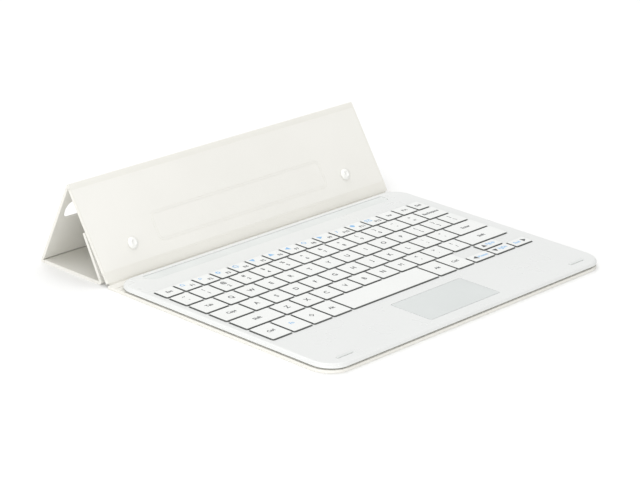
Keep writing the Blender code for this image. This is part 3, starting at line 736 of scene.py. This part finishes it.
def block(name, low, high, radii, rim):
    """A slab with a radius at each upright corner, and its top and bottom edges eased by rim."""
    shape = bmesh.new()
    rings = []
    for base, way in ((low.z, 1), (high.z, -1)):
        turns = [math.pi / 2 * step / RIM_STEPS for step in range(RIM_STEPS + 1)]
        for turn in turns if way > 0 else turns[::-1]:
            inset = rim * (1 - math.sin(turn))
            height = base + way * rim * (1 - math.cos(turn))
            corner_radii = [max(each - inset, 0.00001) for each in radii]
            front_left = (low.x + inset, low.y + inset)
            outline = rounded(front_left, (high.x - inset, high.y - inset), corner_radii)
            rings.append(flat_ring(outline, height))
    add_stack(shape, rings)
    return mesh_of(name, shape, 40.0)


low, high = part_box("charge_socket")
middle_z = (low.z + high.z) / 2
tongue = block(
    "socket_tongue",
    Vector((low.x + TONGUE_ROOT, low.y + TONGUE_CLEAR, middle_z - TONGUE_THICK / 2)),
    Vector((high.x - TONGUE_CLEAR, high.y - TONGUE_CLEAR, middle_z + TONGUE_THICK / 2)),
    [TONGUE_CORNER] * 4, TONGUE_EASE,
)
black = moulded("tongue_black", TONGUE_BLACK, TONGUE_SHADE, 0.4)
add_piece("socket_tongue", tongue, black, "base", "sheet_steel")

# ---------------------------------------------------------------------------------------------
# Top casing: one gloss moulding with a quarter-round rim. It has a separate window for every
# key, with thin webs between them, and windows for the touchpad, rest pad, bumpers and light.

CASING_WHITE = (0.735, 0.745, 0.735)
CASING_SHADE = (0.718, 0.729, 0.718)
CASING_CORNER = 0.0130
CASING_RIM = 0.0021
CASING_SIDE = 0.0016               # thickness of its skirt
CASING_STEPS = 14
CASING_ROUGHNESS = 0.3
CASING_GLOSS = (0.26, 0.34)
LIP_ROUND = 0.00012
KEY_UNIT = 0.0158                  # from one letter key to the next
FUNCTION_UNIT = 0.0141
KEY_GAP = 0.0013                   # between neighbouring keycaps
WEB_WIDTH = 0.0005
WINDOW_CORNER = 0.0013
WINDOW_EASE = 0.00012
WINDOW_OVER = 0.0005               # the cutter above the casing's face
FIT = 0.00025                      # round the touchpad, the socket and the switch
SET_FIT = 0.0001                   # round a piece set fast in its window
TRAY_GAP = 0.0001                  # tray to casing above it; a window's cutter goes as far below
GROOVE_SINK = 0.00001              # a groove's floor below the pad in it
TOUCH_WINDOW_CORNER = 0.0012
LIGHT_WINDOW_CORNER = 0.0006
BUMPER_WINDOW_CORNER = 0.0010
GROOVE_RADII = (0.0045, 0.0045, 0.0010, 0.0010)
SLOT_CORNER = 0.0004
CLEAR_THROUGH = 0.001              # a cutter past each side of the wall it goes through
SWITCH_TRAVEL = 0.0020


def gloss_casing():
    """Gloss moulding: almost smooth, with a long faint waviness and fine dust-like texture."""
    made, tree, shader = new_material("gloss_casing", CASING_WHITE, CASING_ROUGHNESS)
    mottle(tree, shader, noise(tree, 0.06), CASING_WHITE, CASING_SHADE)
    emboss(tree, shader, [(noise(tree, 0.02, 1.0), 0.00002), (noise(tree, 0.0004, 4.0), 0.000002)])
    tree.links.new(spread(tree, noise(tree, 0.02), *CASING_GLOSS), shader.inputs["Roughness"])
    return made


# Each group, which is named as its body: the usual spacing, how many keys, and whether the key
# that may be wider is the first or the last.
KEY_GROUPS = {
    "left_modifier_keys": (KEY_UNIT, 4, "first"),
    "space_key": (KEY_UNIT, 1, "first"),
    "right_modifier_keys": (KEY_UNIT, 2, "first"),
    "left_arrow_key": (KEY_UNIT, 1, "first"),
    "down_arrow_key": (KEY_UNIT, 1, "first"),
    "up_arrow_key": (KEY_UNIT, 1, "first"),
    "right_arrow_key": (KEY_UNIT, 1, "first"),
    "left_shift_key": (KEY_UNIT, 1, "first"),
    "lower_keys_left": (KEY_UNIT, 5, "first"),
    "lower_keys_right": (KEY_UNIT, 5, "first"),
    "right_shift_key": (KEY_UNIT, 1, "first"),
    "caps_key": (KEY_UNIT, 1, "first"),
    "home_keys_left": (KEY_UNIT, 6, "first"),
    "home_keys_right": (KEY_UNIT, 5, "first"),
    "enter_key": (KEY_UNIT, 1, "first"),
    "tab_key": (KEY_UNIT, 1, "first"),
    "upper_keys_left": (KEY_UNIT, 4, "first"),
    "upper_keys_middle": (KEY_UNIT, 4, "first"),
    "upper_keys_right": (KEY_UNIT, 5, "last"),
    "number_keys_left": (KEY_UNIT, 5, "first"),
    "number_keys_middle": (KEY_UNIT, 4, "first"),
    "number_keys_right": (KEY_UNIT, 4, "first"),
    "backspace_key": (KEY_UNIT, 1, "first"),
    "function_keys_left": (FUNCTION_UNIT, 5, "first"),
    "function_keys_middle": (FUNCTION_UNIT, 6, "first"),
    "function_keys_right": (FUNCTION_UNIT, 5, "last"),
}


def key_places(group):
    """The place of each key in a group, gap included: its low and high corners, from the left."""
    unit, count, odd = KEY_GROUPS[group]
    low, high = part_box(group)
    half = KEY_GAP / 2
    left = low.x - half
    odd_width = high.x - low.x + KEY_GAP - (count - 1) * unit
    widths = [unit] * (count - 1)
    widths.insert(0 if odd == "first" else count - 1, odd_width)
    places = []
    for width in widths:
        places.append(((left, low.y - half), (left + width, high.y + half)))
        left += width
    return places


def add_window(shape, low, high, radii, floor, brim):
    """A cutter for one window, which flares at the casing's face to ease the window's edge."""
    rings = []
    for grow, height in (
        (0.0, floor), (0.0, brim - WINDOW_EASE), (0.3 * WINDOW_EASE, brim - 0.3 * WINDOW_EASE),
        (WINDOW_EASE, brim), (WINDOW_EASE, brim + WINDOW_OVER),
    ):
        outline = rounded(
            (low[0] - grow, low[1] - grow), (high[0] + grow, high[1] + grow),
            [each + grow for each in radii], 4,
        )
        rings.append(flat_ring(outline, height))
    add_stack(shape, rings)


def casing_body():
    """The casing as one solid, before it is hollowed and its windows are cut."""
    low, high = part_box("keyboard_top_casing")
    profile = [(LIP_ROUND, low.z), (0.0, low.z + LIP_ROUND)]
    for step in range(CASING_STEPS + 1):
        turn = math.pi / 2 * step / CASING_STEPS
        height = high.z - CASING_RIM + CASING_RIM * math.sin(turn)
        profile.append((CASING_RIM * (1 - math.cos(turn)), height))
    rings = []
    for inset, height in profile:
        outline = rounded(
            (low.x + inset, low.y + inset), (high.x - inset, high.y - inset),
            [CASING_CORNER - inset] * 4, 16,
        )
        rings.append(flat_ring(outline, height))
    shape = bmesh.new()
    add_stack(shape, rings)
    return mesh_of("casing", shape)


def casing_hollow():
    """The space under the casing's top, which clears the tray."""
    low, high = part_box("keyboard_top_casing")
    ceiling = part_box("keyboard_bottom_tray")[1].z + TRAY_GAP
    outline = rounded(
        (low.x + CASING_SIDE, low.y + CASING_SIDE), (high.x - CASING_SIDE, high.y - CASING_SIDE),
        [CASING_CORNER - CASING_SIDE] * 4, 16,
    )
    shape = bmesh.new()
    add_stack(shape, [flat_ring(outline, low.z - CLEAR_THROUGH), flat_ring(outline, ceiling)])
    return mesh_of("casing_hollow", shape)


def casing_windows():
    """Cutters for a window round each key and each piece set in the casing's top."""
    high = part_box("keyboard_top_casing")[1]
    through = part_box("keyboard_bottom_tray")[1].z - TRAY_GAP
    shape = bmesh.new()
    inset = WEB_WIDTH / 2
    for group in KEY_GROUPS:
        for corner, far in key_places(group):
            add_window(
                shape, (corner[0] + inset, corner[1] + inset), (far[0] - inset, far[1] - inset),
                [WINDOW_CORNER] * 4, through, high.z,
            )
    for node, radii, floor, fit in (
        ("touchpad", [TOUCH_WINDOW_CORNER] * 4, through, FIT),
        ("rest_pad", GROOVE_RADII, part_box("rest_pad")[0].z - GROOVE_SINK, SET_FIT),
        (
            "front_bumper_left", [BUMPER_WINDOW_CORNER] * 4,
            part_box("front_bumper_left")[0].z - GROOVE_SINK, SET_FIT,
        ),
        (
            "front_bumper_right", [BUMPER_WINDOW_CORNER] * 4,
            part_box("front_bumper_right")[0].z - GROOVE_SINK, SET_FIT,
        ),
        ("indicator_lens", [LIGHT_WINDOW_CORNER] * 4, through, SET_FIT),
    ):
        inner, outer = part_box(node)
        add_window(
            shape, (inner.x - fit, inner.y - fit), (outer.x + fit, outer.y + fit),
            radii, floor, high.z,
        )
    return mesh_of("casing_windows", shape)


def side_slots():
    """Slots through the right skirt: one round the socket, one as long as the switch can slide."""
    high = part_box("keyboard_top_casing")[1]
    shape = bmesh.new()
    for node, travel in (("charge_socket", 0.0), ("power_switch", SWITCH_TRAVEL)):
        inner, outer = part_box(node)
        ends = high.x - CASING_SIDE - CLEAR_THROUGH, high.x + CLEAR_THROUGH
        outline = rounded(
            (inner.y - FIT, inner.z - FIT / 2), (outer.y + FIT + travel, outer.z + FIT / 2),
            [SLOT_CORNER] * 4, 4,
        )
        add_stack(shape, [[(x, y, z) for y, z in outline] for x in ends])
    return mesh_of("side_slots", shape)


casing_mesh = casing_body()
for tool in (casing_hollow(), casing_windows(), side_slots()):
    casing_mesh = cut(casing_mesh, tool)
add_piece(
    "keyboard_casing_shell", smooth_by_angle(casing_mesh, 35.0), gloss_casing(),
    "base", "gloss_white_casing", "keyboard_top_casing",
)

# ---------------------------------------------------------------------------------------------
# Rest pad and bumpers: a strip of soft silicone in a groove, where the tablet's edge stands, and
# two short bars of the same stuff that keep the closed tablet off the keys.

SILICONE = (0.695, 0.716, 0.702)
SILICONE_SHADE = (0.655, 0.675, 0.66)
SILICONE_EASE = 0.00015
SILICONE_ROUGHNESS = 0.6
SILICONE_GLOSS = (0.55, 0.68)
SILICONE_BLOOM = 0.08
BUMPER_END = 0.48                  # the radius of a bar's ends, as a share of its width


def silicone():
    """Soft matt silicone with a fine sanded texture."""
    made, tree, shader = new_material("soft_silicone", SILICONE, SILICONE_ROUGHNESS)
    mottle(tree, shader, noise(tree, 0.02), SILICONE, SILICONE_SHADE)
    emboss(tree, shader, [(noise(tree, 0.0002, 4.0), 0.00001)])
    tree.links.new(spread(tree, noise(tree, 0.01), *SILICONE_GLOSS), shader.inputs["Roughness"])
    shader.inputs["Sheen Weight"].default_value = SILICONE_BLOOM
    return made


soft_pad = silicone()
low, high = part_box("rest_pad")
pad_radii = [radius - SET_FIT for radius in GROOVE_RADII]
add_piece(
    "rest_strip", block("rest_strip", low, high, pad_radii, SILICONE_EASE),
    soft_pad, "base", "soft_grey_pad", "rest_pad",
)
for side in ("left", "right"):
    low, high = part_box(f"front_bumper_{side}")
    bar = block(f"bumper_{side}", low, high, [(high.y - low.y) * BUMPER_END] * 4, 2 * SILICONE_EASE)
    add_piece(f"bumper_bar_{side}", bar, soft_pad, "base", "soft_grey_pad", f"front_bumper_{side}")

# ---------------------------------------------------------------------------------------------
# Touchpad and light: a thin satin plate hinged at its back edge, and a milky bar of clear
# plastic that the charging light shines through.

TOUCH_GREY = (0.640, 0.665, 0.655)
TOUCH_SHADE = (0.615, 0.64, 0.63)
LENS_WHITE = (0.82, 0.83, 0.82)
LENS_SHADE = (0.78, 0.79, 0.78)
LENS_MILKINESS = 0.3
LENS_DEPTH = 0.001                 # how far light wanders in it
LENS_END = 0.45                    # the radius of its ends, as a share of its width
LENS_EASE = 0.0001
TOUCH_CORNER = 0.0009
TOUCH_EASE = 0.00012

low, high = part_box("touchpad")
touch_plate = block("touch_plate", low, high, [TOUCH_CORNER] * 4, TOUCH_EASE)
satin = moulded("touch_satin", TOUCH_GREY, TOUCH_SHADE, 0.42, 0.00025, 0.000003)
add_piece("touch_plate", touch_plate, satin, "touchpad", "touchpad_surface", "touchpad")
low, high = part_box("indicator_lens")
lens_bar = block("light_bar", low, high, [(high.y - low.y) * LENS_END] * 4, LENS_EASE)
milky = moulded("milky_lens", LENS_WHITE, LENS_SHADE, 0.25)
milky_shader = milky.node_tree.nodes["Principled BSDF"]
milky_shader.inputs["Subsurface Weight"].default_value = LENS_MILKINESS
milky_shader.inputs["Subsurface Radius"].default_value = (LENS_DEPTH, LENS_DEPTH, LENS_DEPTH)
add_piece("light_bar", lens_bar, milky, "base", "milky_lens", "indicator_lens")

# ---------------------------------------------------------------------------------------------
# Power switch: a small moulded tab that slides in its slot in the right side. It is ribbed so
# that a fingernail can move it.

SWITCH_RIBS = 5
RIB_DEPTH = 0.00015
RIB_CREST = (0.3, 0.7)             # where a rib's flat top starts and ends, as shares of the pitch

low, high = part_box("power_switch")
shape = bmesh.new()
pitch = (high.y - low.y) / SWITCH_RIBS
teeth = [(low.x, low.y)]
for rib in range(SWITCH_RIBS):
    start = low.y + rib * pitch
    teeth.append((high.x - RIB_DEPTH, start))
    teeth += [(high.x, start + share * pitch) for share in RIB_CREST]
teeth += [(high.x - RIB_DEPTH, high.y), (low.x, high.y)]
add_stack(shape, [flat_ring(teeth, low.z), flat_ring(teeth, high.z)])
# The tab takes the tray's greyed colour, which is painted shade.
add_piece(
    "switch_tab", mesh_of("switch_tab", shape), matt_tray_painted_shade,
    "power_switch", "matt_white_tray", "power_switch",
)

# ---------------------------------------------------------------------------------------------
# Keycaps: eighty flat moulded caps with rounded top edges. Their tops are white, and their
# skirts are painted dark grey: painted shade for the shadow in the narrow gaps round each key.

KEY_WHITE = (0.795, 0.805, 0.790)
KEY_SHADE = (0.780, 0.790, 0.775)
# The skirts' dark grey is painted shade, for the shadow in the narrow gaps round each key.
SKIRT_PAINTED_SHADE = (0.135, 0.14, 0.135)
SKIRT_PAINTED_SHADE_MOTTLE = (0.12, 0.125, 0.12)
KEY_CORNER = 0.0010
KEY_EASE = 0.00020
KEY_DRAFT = 0.00012
KEY_SHY = 0.00008                  # the cap in from the outline that its solid has
KEY_EASE_STEPS = 4
KEY_CORNER_STEPS = 5


def add_cap(shape, low, high, foot, top):
    """Adds one keycap: a slight draft up its skirt, then a round over to its flat top."""
    rings = [(0.0, foot), (KEY_DRAFT, top - KEY_EASE)]
    for step in range(1, KEY_EASE_STEPS + 1):
        turn = math.pi / 2 * step / KEY_EASE_STEPS
        height = top - KEY_EASE + KEY_EASE * math.sin(turn)
        rings.append((KEY_DRAFT + KEY_EASE * (1 - math.cos(turn)), height))
    outlines = []
    for inset, height in rings:
        outline = rounded(
            (low[0] + inset, low[1] + inset), (high[0] - inset, high[1] - inset),
            [KEY_CORNER - inset] * 4, KEY_CORNER_STEPS,
        )
        outlines.append(flat_ring(outline, height))
    add_stack(shape, outlines)


key_top_white = moulded("key_top_white", KEY_WHITE, KEY_SHADE, 0.42, 0.00025, 0.000003)
# Painted shade: the skirts' material is dark so that every key shows a shadowed outline.
key_skirt_painted_shade = moulded("key_skirt_painted_shade", SKIRT_PAINTED_SHADE, SKIRT_PAINTED_SHADE_MOTTLE, 0.6, 0.0003, 0.000005)
for group in KEY_GROUPS:
    low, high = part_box(group)
    inset = KEY_GAP / 2 + KEY_SHY
    shape = bmesh.new()
    for corner, far in key_places(group):
        front_left = (corner[0] + inset, corner[1] + inset)
        add_cap(shape, front_left, (far[0] - inset, far[1] - inset), low.z, high.z)
    caps = mesh_of(f"{group}_caps", shape, 50.0)
    add_piece(f"{group}_caps", caps, [key_top_white, key_skirt_painted_shade], group, "white_keycap", group)
    # Faces below the top's rounded edge take the skirts' painted shade.
    for face in caps.polygons:
        face.material_index = int(face.center.z < high.z - KEY_EASE)

# ---------------------------------------------------------------------------------------------
# Legends: thin printed letters, in dark grey for what a key types and light blue for what it
# does together with the function key.

INK_DARK = (0.055, 0.058, 0.062)
INK_DARK_SHADE = (0.075, 0.078, 0.082)
INK_BLUE = (0.22, 0.45, 0.72)
INK_BLUE_SHADE = (0.26, 0.49, 0.75)
INK_THICK = 0.00003
INK_SINK = 0.00002
STROKE_SPREAD = 0.00008            # added round each stroke, for a bold face
FOLDING_LETTERS = "M"              # sharp inner corners, which would fold over if spread
CAP_SHARE = 0.70                   # a capital's height for a letter size of one
LETTER_HIGH = 0.0031
NUMBER_HIGH = 0.0026
WORD_HIGH = 0.0023
ICON_HIGH = 0.0028
LOWER_ROW, UPPER_ROW = -0.0021, 0.0025
NUMBER_PLACE = (0.0020, -0.0016)
ICON_PLACE = (-0.0026, 0.0020)
DARK, BLUE = 0, 1


def letters(text):
    """One letter in the middle of each key."""
    return [[(each, 0.0, 0.0, LETTER_HIGH, DARK)] for each in text]


def pairs(text):
    """Keys that type two characters: the lower one of each pair is typed without shift."""
    return [
        [(lower, 0.0, LOWER_ROW, NUMBER_HIGH, DARK), (upper, 0.0, UPPER_ROW, NUMBER_HIGH, DARK)]
        for lower, upper in text.split()
    ]


def word(text, colour=DARK):
    """A word or sign in the middle of one key."""
    return [[(text, 0.0, 0.0, WORD_HIGH, colour)]]


def function_keys(first, icons):
    """Function keys numbered from first: the number low at the right, the blue icon high at the left."""
    return [
        [(f"F{first + index}", *NUMBER_PLACE, WORD_HIGH, DARK), (icon, *ICON_PLACE, ICON_HIGH, BLUE)]
        for index, icon in enumerate(icons)
    ]


def arrow(sign, text, sign_x, text_x):
    """A dark arrow with a blue word beside it."""
    return [[(sign, sign_x, 0.0, ICON_HIGH, DARK), (text, text_x, 0.0, WORD_HIGH, BLUE)]]


LEGENDS = {
    "left_modifier_keys": word("Ctrl") + word("Fn", BLUE) + word("◇") + word("Alt"),
    "right_modifier_keys": word("Alt") + word("Ctrl"),
    "left_arrow_key": arrow("◄", "Home", -0.0045, 0.0020),
    "down_arrow_key": arrow("▼", "PgDn", -0.0045, 0.0020),
    "up_arrow_key": arrow("▲", "PgUp", -0.0045, 0.0020),
    "right_arrow_key": arrow("►", "End", 0.0040, -0.0025),
    "left_shift_key": word("Shift"),
    "lower_keys_left": letters("ZXCVB"),
    "lower_keys_right": letters("NM") + pairs(",< .> /?"),
    "right_shift_key": word("Shift"),
    "caps_key": word("Caps"),
    "home_keys_left": letters("ASDFGH"),
    "home_keys_right": letters("JKL") + pairs(";: '\""),
    "enter_key": word("Enter"),
    "tab_key": word("Tab"),
    "upper_keys_left": letters("QWER"),
    "upper_keys_middle": letters("TYUI"),
    "upper_keys_right": letters("OP") + pairs("[{ ]} \\|"),
    "number_keys_left": pairs("`~ 1! 2@ 3# 4$"),
    "number_keys_middle": pairs("5% 6^ 7& 8*"),
    "number_keys_right": pairs("9( 0) -_ =+"),
    "backspace_key": word("Backspace"),
    "function_keys_left": word("Esc") + function_keys(1, "⌂⌕☼☀"),
    "function_keys_middle": function_keys(5, "▼▲◄○►♪"),
    "function_keys_right": function_keys(11, "●✉") + word("Ins") + word("Prt") + word("Del"),
}


def ink(name, colour, shade):
    """Pad-printed ink, very slightly uneven in depth of colour and in gloss."""
    made, tree, shader = new_material(name, colour, 0.5)
    mottle(tree, shader, noise(tree, 0.0015), colour, shade)
    emboss(tree, shader, [(noise(tree, 0.0001), 0.000002)])
    tree.links.new(spread(tree, noise(tree, 0.001), 0.45, 0.6), shader.inputs["Roughness"])
    return made


def glyph_mesh(text, height, middle, top):
    """Flat raised text of a height, its own middle at a place on a keycap's top."""
    curve = bpy.data.curves.new("legend", "FONT")
    curve.body = text
    curve.size = height / CAP_SHARE
    curve.extrude = (INK_THICK + INK_SINK) / 2
    curve.offset = 0.0 if text in FOLDING_LETTERS else STROKE_SPREAD
    curve.resolution_u = 3
    holder = bpy.data.objects.new("legend", curve)
    bpy.context.scene.collection.objects.link(holder)
    mesh = bpy.data.meshes.new_from_object(holder.evaluated_get(bpy.context.evaluated_depsgraph_get()))
    bpy.data.objects.remove(holder)
    corners = [vertex.co for vertex in mesh.vertices]
    centre_x = (min(point.x for point in corners) + max(point.x for point in corners)) / 2
    centre_y = (min(point.y for point in corners) + max(point.y for point in corners)) / 2
    lift = top + (INK_THICK - INK_SINK) / 2
    mesh.transform(Matrix.Translation((middle[0] - centre_x, middle[1] - centre_y, lift)))
    return mesh


dark_ink = ink("dark_ink", INK_DARK, INK_DARK_SHADE)
blue_ink = ink("blue_ink", INK_BLUE, INK_BLUE_SHADE)
for group, legends in LEGENDS.items():
    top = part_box(group)[1].z
    shape = bmesh.new()
    for (corner, far), legend in zip(key_places(group), legends):
        for text, x, y, height, colour in legend:
            middle = ((corner[0] + far[0]) / 2 + x, (corner[1] + far[1]) / 2 + y)
            glyph = glyph_mesh(text, height, middle, top)
            started = len(shape.faces)
            shape.from_mesh(glyph)
            shape.faces.ensure_lookup_table()
            for face in shape.faces[started:]:
                face.material_index = colour
    bmesh.ops.remove_doubles(shape, verts=shape.verts, dist=SAME_POINT)
    printed = mesh_of(f"{group}_legends", shape)
    add_piece(f"{group}_legends", printed, [dark_ink, blue_ink], group, "white_keycap")
